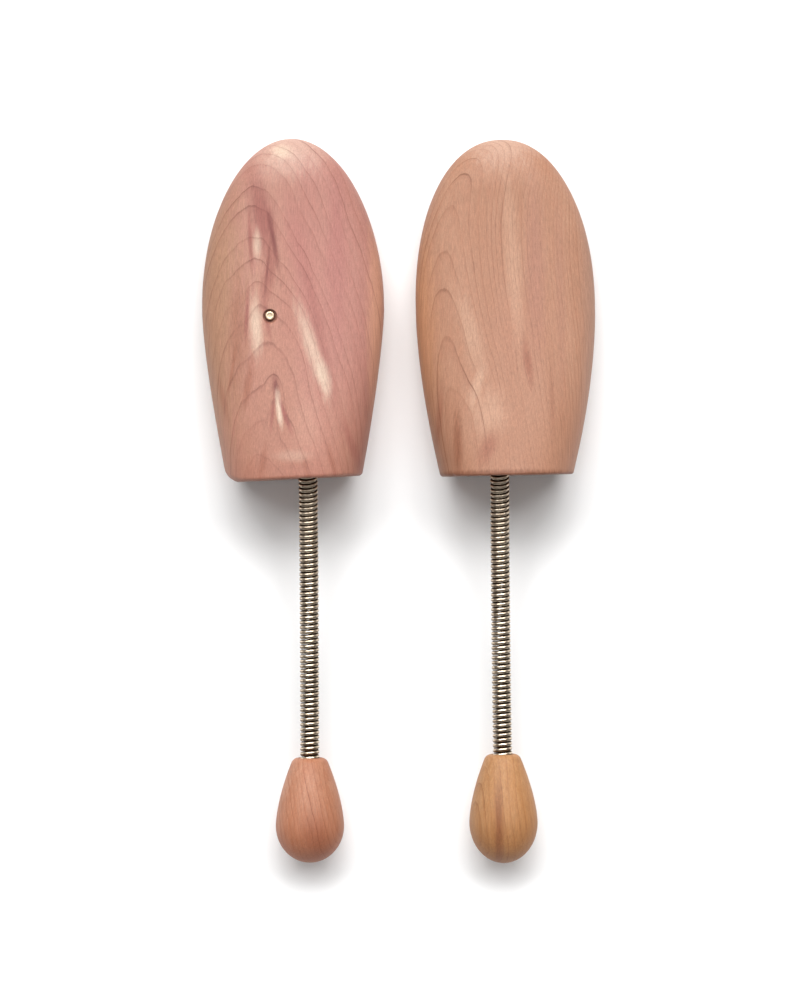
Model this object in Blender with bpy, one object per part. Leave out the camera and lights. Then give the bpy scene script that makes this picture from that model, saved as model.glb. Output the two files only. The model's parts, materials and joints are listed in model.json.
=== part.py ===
"""A pair of spring shoe trees.

Each has a solid cedar toe block, a close-wound coil spring that springs the shoe open, and a turned cedar heel
knob. The spring is one wire on the real object. Here it is cut into short lengths, each its own object with its
origin on the joint in front of it, so that a chain of joints can bend and stretch it.

Metres, +Z up, +Y towards the toes, the blocks' soles and the knobs resting on z = 0. The origin is at the middle
of the pair's footprint.

Within a shoe tree, x is measured from the spring's axis and y from the block's rear face, and u is the distance
back from the tip of the toe.
"""

import math

import bmesh
import bpy
from mathutils import Matrix, Vector

# Toe block
WIDEST_AT = 0.075  # u of the widest section
WAIST_START = 0.078  # u where the sides start to draw in
REAR_NARROWING = 0.0215  # how much narrower the rear is than the widest section
NOSE_HEIGHT = 0.012
NOSE_LENGTH = 0.024  # over which the thickness grows from the tip
TOE_THICKNESS = 0.024
REAR_HEIGHT = 0.050
INSTEP_POWER = 1.7
TOE_SPRING = 0.005  # how far the sole rises towards the tip
TOE_SPRING_LENGTH = 0.034
MIDDLE_HEIGHT_SHARE = 0.42  # where a section is widest, as a share of its height
CROWN_POWER = 2.35
SOLE_POWER = 3.4
SOLE_PUSH = 0.0012  # a section's round underside is pushed down this far, then cut flat by the sole
REAR_EDGE_RADIUS = 0.0025
SECTION_POINTS = 32

# Spring
WIRE_RADIAL = 0.0021
WIRE_AXIAL = 0.0015  # less than the wire's diameter, so that each length can turn against the next
SPRING_RADIUS = 0.00435
PITCH = 0.0022
TURNS_VISIBLE = 58
TURNS_IN_BLOCK = 6
TURNS_IN_KNOB = 5
TURNS_TO_FIRST_JOINT = 1.5
TURNS_PER_LENGTH = 2.5
JOINTS = 23
STEPS_PER_TURN = 8
WIRE_END_GAP = 0.0005
EXIT_SLOPE = math.radians(22)  # how steeply the bore in the block points down and back
TIP_REACH = 0.020  # the knob touches the floor this far behind its front face
PIVOT_OFFSET = 0.0027  # how far towards its inner side a bend pivots, because close-wound turns open outside

# Bores
BORE_RADIUS = 0.00465
BORE_SIDES = 24
BORE_END_GAP = 0.001

# Heel knob
KNOB_RADIUS = 0.0154
KNOB_WIDEST_AT = 0.0306
KNOB_FACE_RADIUS = 0.0074
KNOB_FRONT_POWER = 1.6
KNOB_SIDES = 24

# Marker pin, on the left block only
PIN_U = 0.0808
PIN_X = -0.0098
PIN_HEAD_RADIUS = 0.0019
PIN_DISH_RADIUS = 0.0011
PIN_DISH_DEPTH = 0.0003
PIN_SHANK_RADIUS = 0.0012
PIN_LENGTH = 0.009
PIN_HOLE_RADIUS = 0.0015
PIN_RECESS_RADIUS = 0.0030
PIN_RECESS_DEPTH = 0.0014
PIN_SIDES = 20

SPRING_LENGTH = TURNS_VISIBLE * PITCH

# Where each shoe tree stands. "block_x" is the middle of the block's rear, from the spring's axis. "block_yaw"
# turns the block about that point. "squint" is how far the rear face is from square.
TREES = {
    "left": {
        "x": -0.0403,
        "y": 0.0096,
        "yaw": math.radians(0.14),
        "block_x": -0.0063,
        "block_yaw": math.radians(0.61),
        "block_length": 0.1536,
        "block_width": 0.0820,
        "belly": 0.0,
        "toe_power": 1.95,
        "waist_power": 1.38,
        "squint": math.radians(2.9),
        "knob_length": 0.0472,
        "has_pin": True,
    },
    "right": {
        "x": 0.0450,
        "y": 0.0112,
        "yaw": math.radians(0.82),
        "block_x": 0.0036,
        "block_yaw": math.radians(0.14),
        "block_length": 0.1516,
        "block_width": 0.0809,
        "belly": 0.0008,
        "toe_power": 2.12,
        "waist_power": 1.70,
        "squint": math.radians(1.2),
        "knob_length": 0.0490,
        "has_pin": False,
    },
}

WOOD_LEFT = (0.55, 0.30, 0.21)
WOOD_RIGHT = (0.56, 0.31, 0.19)
WOOD_KNOB = (0.53, 0.27, 0.16)
STEEL = (0.62, 0.60, 0.57)
BRASS = (0.80, 0.58, 0.28)


def clear_scene():
    for obj in list(bpy.data.objects):
        bpy.data.objects.remove(obj, do_unlink=True)


def material(name, colour, roughness, metallic):
    made = bpy.data.materials.new(name)
    made.use_nodes = True
    shader = made.node_tree.nodes["Principled BSDF"]
    shader.inputs["Base Color"].default_value = (*colour, 1.0)
    shader.inputs["Roughness"].default_value = roughness
    shader.inputs["Metallic"].default_value = metallic
    made.diffuse_color = (*colour, 1.0)
    return made


def add_object(name, mesh, finish, origin, parent):
    """An object whose mesh was built in its shoe tree's frame, with its own origin moved to a point there."""
    mesh.transform(Matrix.Translation(-Vector(origin)))
    if finish:
        mesh.materials.append(finish)
    obj = bpy.data.objects.new(name, mesh)
    obj.location = origin
    obj.parent = parent
    bpy.context.scene.collection.objects.link(obj)
    return obj


def mesh_from_rings(name, rings, front_pole=None, rear_pole=None):
    """A closed mesh through rings of equal size. Each end gets a point if one is given, or else a flat cap."""
    bm = bmesh.new()
    loops = [[bm.verts.new(point) for point in ring] for ring in rings]
    for near, far in zip(loops, loops[1:]):
        for k in range(len(near)):
            after = (k + 1) % len(near)
            bm.faces.new((near[k], near[after], far[after], far[k]))
    for loop, pole in ((loops[0], front_pole), (loops[-1], rear_pole)):
        if pole is None:
            bm.faces.new(loop)
            continue
        tip = bm.verts.new(pole)
        for k in range(len(loop)):
            bm.faces.new((loop[k], loop[(k + 1) % len(loop)], tip))
    bmesh.ops.recalc_face_normals(bm, faces=bm.faces)
    mesh = bpy.data.meshes.new(name)
    bm.to_mesh(mesh)
    bm.free()
    return mesh


def shade_round(obj, angle=40):
    obj.data.shade_smooth()
    obj.data.set_sharp_from_angle(angle=math.radians(angle))


def cut(obj, cutter):
    cutter.hide_render = True
    cutter.display_type = "WIRE"
    modifier = obj.modifiers.new(cutter.name, "BOOLEAN")
    modifier.operation = "DIFFERENCE"
    modifier.object = cutter


def turned_rings(profile, sides, place):
    """Rings of a turned shape. The profile is (distance along the axis, radius), and place maps axis to +Z."""
    rings = []
    for along, radius in profile:
        angles = [2 * math.pi * k / sides for k in range(sides)]
        ring = [Vector((radius * math.cos(a), radius * math.sin(a), along)) for a in angles]
        rings.append([place @ point for point in ring])
    return rings


# ---- Spring centreline ----


def slope(s):
    """How steeply the spring falls at arc length s behind the block. It is bent as a rod is whose tip is held up."""
    if s <= 0:
        return EXIT_SLOPE
    if s >= SPRING_LENGTH:
        return 0.0
    held_at = SPRING_LENGTH + TIP_REACH
    whole = SPRING_LENGTH - SPRING_LENGTH**2 / (2 * held_at)
    return EXIT_SLOPE * (1 - (s - s**2 / (2 * held_at)) / whole)


def fall_and_run(s, steps=200):
    """How far the spring has gone down and back at arc length s."""
    step = s / steps
    middles = [slope((k + 0.5) * step) for k in range(steps)]
    return sum(math.sin(a) for a in middles) * step, sum(math.cos(a) for a in middles) * step


EXIT_HEIGHT = KNOB_RADIUS + fall_and_run(SPRING_LENGTH)[0]


def centre(s):
    fall, run = fall_and_run(s)
    return Vector((0.0, -run, EXIT_HEIGHT - fall))


def tangent(s):
    return Vector((0.0, -math.cos(slope(s)), -math.sin(slope(s))))


def upward(s):
    """The direction square to the spring that points most nearly up."""
    return Vector((0.0, -math.sin(slope(s)), math.cos(slope(s))))


def joint_at(index):
    return (TURNS_TO_FIRST_JOINT + TURNS_PER_LENGTH * index) * PITCH


def joint_kind(index):
    """Every other joint bends the spring up and down. Those between bend it sideways and stretch it, in turn."""
    if index % 2 == 0:
        return "bow"
    return "side" if index % 4 == 1 else "stretch"


def bow_share(index):
    """How far a bow joint turns, positive where the rear goes up. The spring bows up between two level ends."""
    bows = [k for k in range(JOINTS) if joint_kind(k) == "bow"]
    waves = {k: math.cos(2 * math.pi * joint_at(k) / SPRING_LENGTH) for k in bows}
    return waves[index] - sum(waves.values()) / len(waves)


def pivot(index):
    """The point that a length of spring turns about. One bent up or down turns about a point on its inner side."""
    s = joint_at(index)
    if joint_kind(index) != "bow":
        return centre(s)
    inner = 1 if bow_share(index) > 0 else -1
    return centre(s) + inner * PIVOT_OFFSET * upward(s)


def wire_mesh(name, start, end):
    """The right-hand coil from arc length start to end, its wire drawn with a four-sided section."""
    steps = max(2, round((end - start) / PITCH * STEPS_PER_TURN))
    inner = SPRING_RADIUS - WIRE_RADIAL
    rings = []
    for k in range(steps + 1):
        s = start + (end - start) * k / steps
        turn = 2 * math.pi * s / PITCH
        out = math.cos(turn) * upward(s) - math.sin(turn) * Vector((1, 0, 0))
        half = WIRE_AXIAL / 2 * tangent(s)
        middle = centre(s)
        rings.append(
            [
                middle + SPRING_RADIUS * out - half,
                middle + SPRING_RADIUS * out + half,
                middle + inner * out + half,
                middle + inner * out - half,
            ]
        )
    return mesh_from_rings(name, rings)


def build_spring(side, steel, tree):
    end_gap = WIRE_END_GAP / (2 * math.pi * SPRING_RADIUS) * PITCH / 2
    front = joint_at(0) - end_gap
    rear = joint_at(JOINTS - 1) + end_gap
    seated = -TURNS_IN_BLOCK * PITCH
    name = f"{side}_spring_front_end"
    add_object(name, wire_mesh(name, seated, front), steel, centre(0), tree)
    for k in range(JOINTS - 1):
        name = f"{side}_coil_{k + 1:02d}"
        mesh = wire_mesh(name, joint_at(k) + end_gap, joint_at(k + 1) - end_gap)
        add_object(name, mesh, steel, pivot(k), tree)
    name = f"{side}_spring_rear_end"
    mesh = wire_mesh(name, rear, SPRING_LENGTH + TURNS_IN_KNOB * PITCH)
    add_object(name, mesh, steel, pivot(JOINTS - 1), tree)


# ---- Toe block ----


def half_width(u, facts):
    """Half the block's width: nearly half an ellipse in front of the widest section, then sides that draw in."""
    widest = facts["block_width"] / 2
    if u < WIDEST_AT:
        power = facts["toe_power"]
        return widest * (1 - (1 - u / WIDEST_AT) ** power) ** (1 / power)
    drawn_in = max(0.0, u - WAIST_START) / (facts["block_length"] - WAIST_START)
    return widest - REAR_NARROWING / 2 * drawn_in ** facts["waist_power"]


def top_height(u, facts):
    return TOE_THICKNESS + (REAR_HEIGHT - TOE_THICKNESS) * (u / facts["block_length"]) ** INSTEP_POWER


def sole_height(u):
    return TOE_SPRING * max(0.0, 1 - u / TOE_SPRING_LENGTH) ** 2


def nose_share(u):
    return math.sqrt(1 - max(0.0, 1 - u / NOSE_LENGTH) ** 2)


def block_section(u, facts, inset=0.0):
    """One cross-section as (x, z) points from the middle of the sole: a crowned top, full sides and a flat sole."""
    wide = half_width(u, facts) - inset
    share = nose_share(u)
    top = NOSE_HEIGHT + (top_height(u, facts) - NOSE_HEIGHT) * share - inset
    sole = NOSE_HEIGHT + (sole_height(u) - NOSE_HEIGHT) * share + inset
    middle = sole + (top - sole) * MIDDLE_HEIGHT_SHARE
    points = []
    for k in range(SECTION_POINTS):
        angle = 2 * math.pi * k / SECTION_POINTS
        across, up = math.sin(angle), -math.cos(angle)
        power = CROWN_POWER if up > 0 else SOLE_POWER
        x = math.copysign(wide * abs(across) ** (2 / power), across)
        if up > 0:
            z = middle + (top - middle) * up ** (2 / power)
        else:
            z = max(sole, middle - (middle - sole + SOLE_PUSH) * abs(up) ** (2 / power))
        points.append((x, z))
    return points


def block_stations(length):
    """(u, inset) of each cross-section: evenly round the toe's ellipse, then back to a rounded rear edge."""
    stations = [(WIDEST_AT * (1 - math.cos(math.radians(a))), 0.0) for a in (7, 14, 22, 31, 41, 51, 61, 71, 81)]
    edge_start = length - REAR_EDGE_RADIUS
    stations += [(WIDEST_AT + (edge_start - WIDEST_AT) * k / 6, 0.0) for k in range(6)]
    for angle in (0, 45, 90):
        back = REAR_EDGE_RADIUS * math.sin(math.radians(angle))
        stations.append((edge_start + back, REAR_EDGE_RADIUS * (1 - math.cos(math.radians(angle)))))
    return stations


def block_place(facts):
    """From the block's own frame, rear middle at the origin, to its shoe tree's frame."""
    return Matrix.Translation((facts["block_x"], 0, 0)) @ Matrix.Rotation(facts["block_yaw"], 4, "Z")


def build_block(side, wood, tree):
    facts = TREES[side]
    length = facts["block_length"]
    place = block_place(facts)
    skew = math.tan(facts["squint"] - facts["block_yaw"] - facts["yaw"])
    rings = []
    for u, inset in block_stations(length):
        lean = skew * (u / length) ** 3
        aside = facts["belly"] * math.sin(math.pi * u / length)
        section = block_section(u, facts, inset)
        rings.append([place @ Vector((x + aside, length - u + lean * x, z)) for x, z in section])
    tip = place @ Vector((0, length, NOSE_HEIGHT))
    name = f"{side}_toe_block"
    obj = add_object(name, mesh_from_rings(name, rings, front_pole=tip), wood, centre(0), tree)
    cut(obj, bore_cutter(f"{side}_block_bore", centre(0), -tangent(0), TURNS_IN_BLOCK * PITCH, tree))
    return obj


def bore_cutter(name, mouth, inwards, depth, tree):
    """A round bore that goes in from its mouth, a little further than the spring does."""
    along = inwards.to_track_quat("Z", "Y").to_matrix().to_4x4()
    place = Matrix.Translation(mouth) @ along
    outside = 3 * BORE_RADIUS
    profile = [(-outside, BORE_RADIUS), (depth + BORE_END_GAP, BORE_RADIUS)]
    rings = turned_rings(profile, BORE_SIDES, place)
    return add_object(name, mesh_from_rings(name, rings), None, mouth, tree)


# ---- Marker pin ----


def build_pin(side, brass, block, tree):
    facts = TREES[side]
    wide, top = half_width(PIN_U, facts), top_height(PIN_U, facts)
    middle = top * MIDDLE_HEIGHT_SHARE
    crown = (1 - (abs(PIN_X) / wide) ** CROWN_POWER) ** (1 / CROWN_POWER)
    height = middle + (top - middle) * crown
    surface = block_place(facts) @ Vector((PIN_X, facts["block_length"] - PIN_U, height))
    place = Matrix.Translation(surface)
    recess = [
        (0.004, PIN_RECESS_RADIUS),
        (-PIN_RECESS_DEPTH, PIN_RECESS_RADIUS),
        (-PIN_RECESS_DEPTH - 0.0004, PIN_HOLE_RADIUS),
        (-PIN_LENGTH - BORE_END_GAP, PIN_HOLE_RADIUS),
    ]
    name = f"{side}_pin_hole"
    rings = turned_rings(recess, PIN_SIDES, place)
    cut(block, add_object(name, mesh_from_rings(name, rings), None, surface, tree))
    under = -PIN_RECESS_DEPTH + 0.0003
    pin = [
        (-PIN_LENGTH, PIN_SHANK_RADIUS),
        (under, PIN_SHANK_RADIUS),
        (under, PIN_HEAD_RADIUS),
        (under + 0.0007, PIN_HEAD_RADIUS),
        (under + 0.0010, PIN_HEAD_RADIUS - 0.0003),
        (under + 0.0010, PIN_DISH_RADIUS),
        (under + 0.0010 - PIN_DISH_DEPTH, PIN_DISH_RADIUS / 2),
    ]
    name = f"{side}_marker_pin"
    rings = turned_rings(pin, PIN_SIDES, place)
    obj = add_object(name, mesh_from_rings(name, rings), brass, surface, tree)
    shade_round(obj)


# ---- Heel knob ----


def knob_radius(v, length):
    """The knob's radius at distance v behind its front face: a long taper in front and a blunt round end."""
    if v > KNOB_WIDEST_AT:
        blunt = (v - KNOB_WIDEST_AT) / (length - KNOB_WIDEST_AT)
        return KNOB_RADIUS * math.sqrt(max(0.0, 1 - blunt**2))
    face = 1 - (KNOB_FACE_RADIUS / KNOB_RADIUS) ** 2
    reach = KNOB_WIDEST_AT / face ** (1 / KNOB_FRONT_POWER)
    return KNOB_RADIUS * math.sqrt(1 - ((KNOB_WIDEST_AT - v) / reach) ** KNOB_FRONT_POWER)


def build_knob(side, wood, tree):
    length = TREES[side]["knob_length"]
    front = [KNOB_WIDEST_AT * share for share in (0, 0.07, 0.2, 0.4, 0.6, 0.8)]
    blunt = length - KNOB_WIDEST_AT
    rear = [KNOB_WIDEST_AT + blunt * math.sin(math.radians(a)) for a in (0, 22, 42, 58, 72, 82)]
    profile = [(v, knob_radius(v, length)) for v in front + rear]
    mouth = centre(SPRING_LENGTH)
    backwards = tangent(SPRING_LENGTH).to_track_quat("Z", "Y").to_matrix().to_4x4()
    place = Matrix.Translation(mouth) @ backwards
    rings = turned_rings(profile, KNOB_SIDES, place)
    name = f"{side}_heel_knob"
    mesh = mesh_from_rings(name, rings, rear_pole=place @ Vector((0, 0, length)))
    obj = add_object(name, mesh, wood, pivot(JOINTS - 1), tree)
    cut(obj, bore_cutter(f"{side}_knob_bore", mouth, tangent(SPRING_LENGTH), TURNS_IN_KNOB * PITCH, tree))
    shade_round(obj)


def build():
    clear_scene()
    steel = material("spring_steel", STEEL, 0.28, 1.0)
    knob_wood = material("knob_cedar", WOOD_KNOB, 0.6, 0.0)
    brass = material("pin_brass", BRASS, 0.25, 1.0)
    for side, colour in (("left", WOOD_LEFT), ("right", WOOD_RIGHT)):
        facts = TREES[side]
        tree = bpy.data.objects.new(f"{side}_tree", None)
        tree.location = (facts["x"], facts["y"], 0)
        tree.rotation_euler = (0, 0, facts["yaw"])
        bpy.context.scene.collection.objects.link(tree)
        block = build_block(side, material(f"{side}_block_cedar", colour, 0.6, 0.0), tree)
        if facts["has_pin"]:
            build_pin(side, brass, block, tree)
        shade_round(block, 30)
        build_spring(side, steel, tree)
        build_knob(side, knob_wood, tree)


build()
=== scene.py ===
"""Looks for a pair of spring shoe trees: cedar toe blocks, coil springs, cedar heel knobs, a brass pin.

Every piece is a fine mesh that stands for the plain CAD node of the same shape. Metres, +Z up, +Y towards
the toes. Shapes are made in a shoe tree's own frame, with x from the spring's axis and y from the block's
rear face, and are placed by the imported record's joints. Wood figure is worked out in millimetres in the
block's or the knob's frame.
"""

import json
import math

import bpy
from mathutils import Matrix, Vector, noise


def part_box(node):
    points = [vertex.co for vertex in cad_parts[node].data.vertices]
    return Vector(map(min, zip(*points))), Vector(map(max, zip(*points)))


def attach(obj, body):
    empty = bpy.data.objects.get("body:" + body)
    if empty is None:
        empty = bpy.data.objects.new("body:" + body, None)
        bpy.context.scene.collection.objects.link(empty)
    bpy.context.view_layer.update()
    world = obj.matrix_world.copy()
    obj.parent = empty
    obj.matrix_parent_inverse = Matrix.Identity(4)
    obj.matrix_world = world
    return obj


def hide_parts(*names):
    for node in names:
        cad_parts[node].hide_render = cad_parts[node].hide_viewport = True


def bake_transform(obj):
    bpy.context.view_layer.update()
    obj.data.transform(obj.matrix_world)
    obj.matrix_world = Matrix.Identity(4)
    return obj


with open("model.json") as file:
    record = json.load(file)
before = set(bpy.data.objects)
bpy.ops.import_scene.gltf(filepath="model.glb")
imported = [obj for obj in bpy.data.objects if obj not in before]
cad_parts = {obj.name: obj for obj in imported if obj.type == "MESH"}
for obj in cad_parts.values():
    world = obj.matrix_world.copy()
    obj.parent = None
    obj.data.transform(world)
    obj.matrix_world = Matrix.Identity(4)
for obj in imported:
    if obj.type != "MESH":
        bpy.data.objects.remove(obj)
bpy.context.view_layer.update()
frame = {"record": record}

SIDES = ("left", "right")
MM = 0.001

# Spring, as in the CAD model
SPRING_RADIUS = 0.00435
PITCH = 0.0022
TURNS_VISIBLE = 58
TURNS_IN_BLOCK = 6
TURNS_IN_KNOB = 5
TURNS_TO_FIRST_JOINT = 1.5
TURNS_PER_LENGTH = 2.5
JOINTS = 23
EXIT_SLOPE = math.radians(22)
TIP_REACH = 0.020
SPRING_LENGTH = TURNS_VISIBLE * PITCH
WIRE_RADIUS = 0.00101
WIRE_STEPS_PER_TURN = 40
WIRE_SIDES = 14
BORE_RADIUS = 0.00465
BORE_CHAMFER = 0.0003
BORE_END_GAP = 0.001

# Toe block, as in the CAD model
WIDEST_AT = 0.075
WAIST_START = 0.078
REAR_NARROWING = 0.0215
NOSE_HEIGHT = 0.012
NOSE_LENGTH = 0.024
TOE_THICKNESS = 0.024
REAR_HEIGHT = 0.050
INSTEP_POWER = 1.7
TOE_SPRING = 0.005
TOE_SPRING_LENGTH = 0.034
MIDDLE_HEIGHT_SHARE = 0.42
CROWN_POWER = 2.35
SOLE_POWER = 3.4
SOLE_PUSH = 0.0012
SECTION_POINTS = 180

BLOCKS = {
    "left": {
        "block_x": -0.0063,
        "block_yaw": math.radians(0.61),
        "block_length": 0.1536,
        "block_width": 0.0820,
        "belly": 0.0,
        "toe_power": 1.95,
        "waist_power": 1.38,
        "squint": math.radians(2.9),
        "edge_radius": 0.0016,
        "corner_radius": 0.0060,
        "chips": 0.0002,
        "seed": 3.0,
    },
    "right": {
        "block_x": 0.0036,
        "block_yaw": math.radians(0.14),
        "block_length": 0.1516,
        "block_width": 0.0809,
        "belly": 0.0008,
        "toe_power": 2.12,
        "waist_power": 1.70,
        "squint": math.radians(1.2),
        "edge_radius": 0.0009,
        "corner_radius": 0.0012,
        "chips": 0.0007,
        "seed": 11.0,
    },
}

# Heel knob, as in the CAD model
KNOB_WIDEST_AT = 0.0306
KNOB_FACE_RADIUS = 0.0074
KNOB_FRONT_POWER = 1.6
KNOB_FACE_EDGE = 0.0021
KNOB_SIDES = 120
KNOB_LENGTHS = {"left": 0.0472, "right": 0.0490}

# Marker pin, as in the CAD model
PIN_U = 0.0808
PIN_X = -0.0098
PIN_HEAD_RADIUS = 0.0019
PIN_SHANK_RADIUS = 0.0012
PIN_LENGTH = 0.009
PIN_HOLE_RADIUS = 0.0015
PIN_RECESS_RADIUS = 0.0030
PIN_RECESS_DEPTH = 0.0014
PIN_SIDES = 64


# ---- Camera ----


CAMERA_AT = (0.00063, 0.00015, 1.5)
SENSOR_MM = 36
LENS_MM = 118.67


def make_camera():
    """Straight down from 1.5 m, as the pair lies, with the toes at the top of the picture."""
    data = bpy.data.cameras.new("camera")
    data.sensor_width = SENSOR_MM
    data.lens = LENS_MM
    data.clip_start = 0.1
    data.clip_end = 50
    camera = bpy.data.objects.new("camera", data)
    camera.location = CAMERA_AT
    bpy.context.scene.collection.objects.link(camera)
    bpy.context.scene.camera = camera


# ---- Where the shoe trees stand ----

JOINT_OF = {joint["name"]: joint for joint in frame["record"]["behaviour"]["joints"]}
KNOB_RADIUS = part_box("left_heel_knob")[1].z / 2


def slope(s):
    if s <= 0:
        return EXIT_SLOPE
    if s >= SPRING_LENGTH:
        return 0.0
    held_at = SPRING_LENGTH + TIP_REACH
    whole = SPRING_LENGTH - SPRING_LENGTH**2 / (2 * held_at)
    return EXIT_SLOPE * (1 - (s - s**2 / (2 * held_at)) / whole)


TABLE_STEP = PITCH / 40
TABLE_START = -10 * PITCH


def centreline_table():
    """(fall, run) at even arc lengths, from ten turns before the block's face to ten past the far end."""
    count = round((SPRING_LENGTH + 20 * PITCH) / TABLE_STEP)
    rows = [(TABLE_START * math.sin(EXIT_SLOPE), TABLE_START * math.cos(EXIT_SLOPE))]
    for k in range(count):
        angle = slope(TABLE_START + (k + 0.5) * TABLE_STEP)
        fall, run = rows[-1]
        rows.append((fall + math.sin(angle) * TABLE_STEP, run + math.cos(angle) * TABLE_STEP))
    return rows


TABLE = centreline_table()


def fall_and_run(s):
    place = (s - TABLE_START) / TABLE_STEP
    k = min(int(place), len(TABLE) - 2)
    share = place - k
    near, far = TABLE[k], TABLE[k + 1]
    return near[0] + (far[0] - near[0]) * share, near[1] + (far[1] - near[1]) * share


EXIT_HEIGHT = KNOB_RADIUS + fall_and_run(SPRING_LENGTH)[0]


def centre(s):
    fall, run = fall_and_run(s)
    return Vector((0.0, -run, EXIT_HEIGHT - fall))


def tangent(s):
    return Vector((0.0, -math.cos(slope(s)), -math.sin(slope(s))))


def upward(s):
    return Vector((0.0, -math.sin(slope(s)), math.cos(slope(s))))


def joint_at(index):
    return (TURNS_TO_FIRST_JOINT + TURNS_PER_LENGTH * index) * PITCH


def tree_place(side):
    """A shoe tree's frame, from its first bow hinge's axis and its first side hinge's pivot."""
    axis = JOINT_OF[f"{side}_bow"]["axis"]
    turn = Matrix.Rotation(math.atan2(-axis[1], -axis[0]), 4, "Z")
    pivot = Vector(JOINT_OF[f"{side}_side"]["pos_m"])
    at = pivot - turn @ centre(joint_at(1))
    return Matrix.Translation((at.x, at.y, 0)) @ turn


PLACES = {side: tree_place(side) for side in SIDES}


# ---- Meshes ----


def mesh_object(name, points, faces, place=None, smooth_angle=50):
    mesh = bpy.data.meshes.new(name)
    mesh.from_pydata([tuple(p) for p in points], [], faces)
    if place is not None:
        mesh.transform(place)
    mesh.validate()
    mesh.shade_smooth()
    mesh.set_sharp_from_angle(angle=math.radians(smooth_angle))
    obj = bpy.data.objects.new(name, mesh)
    bpy.context.scene.collection.objects.link(obj)
    return obj


def skin_rings(rings, front_pole=None, rear_pole=None):
    """Points and faces of a closed skin through equal rings. An end gets its pole, or else a flat cap."""
    size = len(rings[0])
    points = [p for ring in rings for p in ring]
    faces = []
    for r in range(len(rings) - 1):
        for k in range(size):
            after = (k + 1) % size
            near, far = r * size, (r + 1) * size
            faces.append((near + k, near + after, far + after, far + k))
    last = (len(rings) - 1) * size
    if front_pole is None:
        faces.append(tuple(reversed(range(size))))
    else:
        points.append(front_pole)
        faces += [((k + 1) % size, k, len(points) - 1) for k in range(size)]
    if rear_pole is None:
        faces.append(tuple(range(last, last + size)))
    else:
        points.append(rear_pole)
        faces += [(last + k, last + (k + 1) % size, len(points) - 1) for k in range(size)]
    return points, faces


def face_outwards(obj):
    """Turns the faces round if the mesh is inside out."""
    mesh = obj.data
    volume = 0.0
    for polygon in mesh.polygons:
        corners = [mesh.vertices[i].co for i in polygon.vertices]
        for b, c in zip(corners[1:], corners[2:]):
            volume += corners[0].dot(b.cross(c))
    if volume < 0:
        mesh.flip_normals()


# ---- Node helpers ----


class Shader:
    """Short names for the nodes of one material. Methods take numbers or sockets and return sockets."""

    def __init__(self, name):
        self.material = bpy.data.materials.new(name)
        self.material.use_nodes = True
        self.tree = self.material.node_tree
        self.surface = self.tree.nodes["Principled BSDF"]

    def node(self, kind, inputs=(), **settings):
        made = self.tree.nodes.new(kind)
        for key, value in settings.items():
            setattr(made, key, value)
        for key, value in dict(inputs).items():
            self.join(value, made.inputs[key])
        return made

    def join(self, value, socket):
        if isinstance(value, bpy.types.NodeSocket):
            self.tree.links.new(value, socket)
        elif value is not None:
            socket.default_value = value

    def math(self, operation, a, b=None, c=None):
        made = self.node("ShaderNodeMath", operation=operation)
        for value, socket in zip((a, b, c), made.inputs):
            self.join(value, socket)
        return made.outputs[0]

    def add(self, *values):
        total = values[0]
        for value in values[1:]:
            total = self.math("ADD", total, value)
        return total

    def times(self, a, b):
        return self.math("MULTIPLY", a, b)

    def less(self, a, b):
        return self.math("SUBTRACT", a, b)

    def vector(self, x, y, z):
        return self.node("ShaderNodeCombineXYZ", {"X": x, "Y": y, "Z": z}).outputs[0]

    def noise(self, vector, detail=2.0, roughness=0.5):
        """Noise centred on zero, about -1 to 1, at a scale of one unit of its coordinate."""
        inputs = {"Vector": vector, "Scale": 1.0, "Detail": detail, "Roughness": roughness}
        made = self.node("ShaderNodeTexNoise", inputs)
        return self.math("MULTIPLY_ADD", made.outputs["Fac"], 2.0, -1.0)

    def line_noise(self, at, detail=1.0):
        inputs = {"W": at, "Scale": 1.0, "Detail": detail}
        made = self.node("ShaderNodeTexNoise", inputs, noise_dimensions="1D")
        return self.math("MULTIPLY_ADD", made.outputs["Fac"], 2.0, -1.0)

    def smooth(self, value, low, high, to_low=0.0, to_high=1.0):
        made = self.node("ShaderNodeMapRange", interpolation_type="SMOOTHSTEP")
        ends = (value, low, high, to_low, to_high)
        for item, key in zip(ends, ("Value", "From Min", "From Max", "To Min", "To Max")):
            self.join(item, made.inputs[key])
        return made.outputs[0]

    def ramp(self, value, stops):
        made = self.node("ShaderNodeValToRGB", {"Fac": value})
        elements = made.color_ramp.elements
        while len(elements) < len(stops):
            elements.new(0.5)
        for element, (at, level) in zip(elements, stops):
            element.position = at
            element.color = (level, level, level, 1) if isinstance(level, (int, float)) else (*level, 1)
        return made.outputs["Color"]

    def scaled(self, vector, scale):
        return self.node("ShaderNodeVectorMath", {0: vector, 3: scale}, operation="SCALE").outputs[0]

    def mix(self, share, a, b, blend="MIX"):
        made = self.node("ShaderNodeMix", data_type="RGBA", blend_type=blend)
        for value, socket in ((share, made.inputs[0]), (a, made.inputs[6]), (b, made.inputs[7])):
            if isinstance(value, tuple):
                value = (*value, 1.0)
            self.join(value, socket)
        return made.outputs[2]

    def local(self, place):
        """Millimetres in a piece's own frame. The pieces' meshes are in world coordinates at rest."""
        coordinates = self.node("ShaderNodeTexCoord").outputs["Object"]
        where, turn, _ = place.decompose()
        mapping = self.node("ShaderNodeMapping", {"Vector": coordinates}, vector_type="TEXTURE")
        mapping.inputs["Location"].default_value = where
        mapping.inputs["Rotation"].default_value = turn.to_euler()
        mapping.inputs["Scale"].default_value = (MM, MM, MM)
        made = self.node("ShaderNodeSeparateXYZ", {"Vector": mapping.outputs[0]})
        return made.outputs["X"], made.outputs["Y"], made.outputs["Z"]


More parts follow.
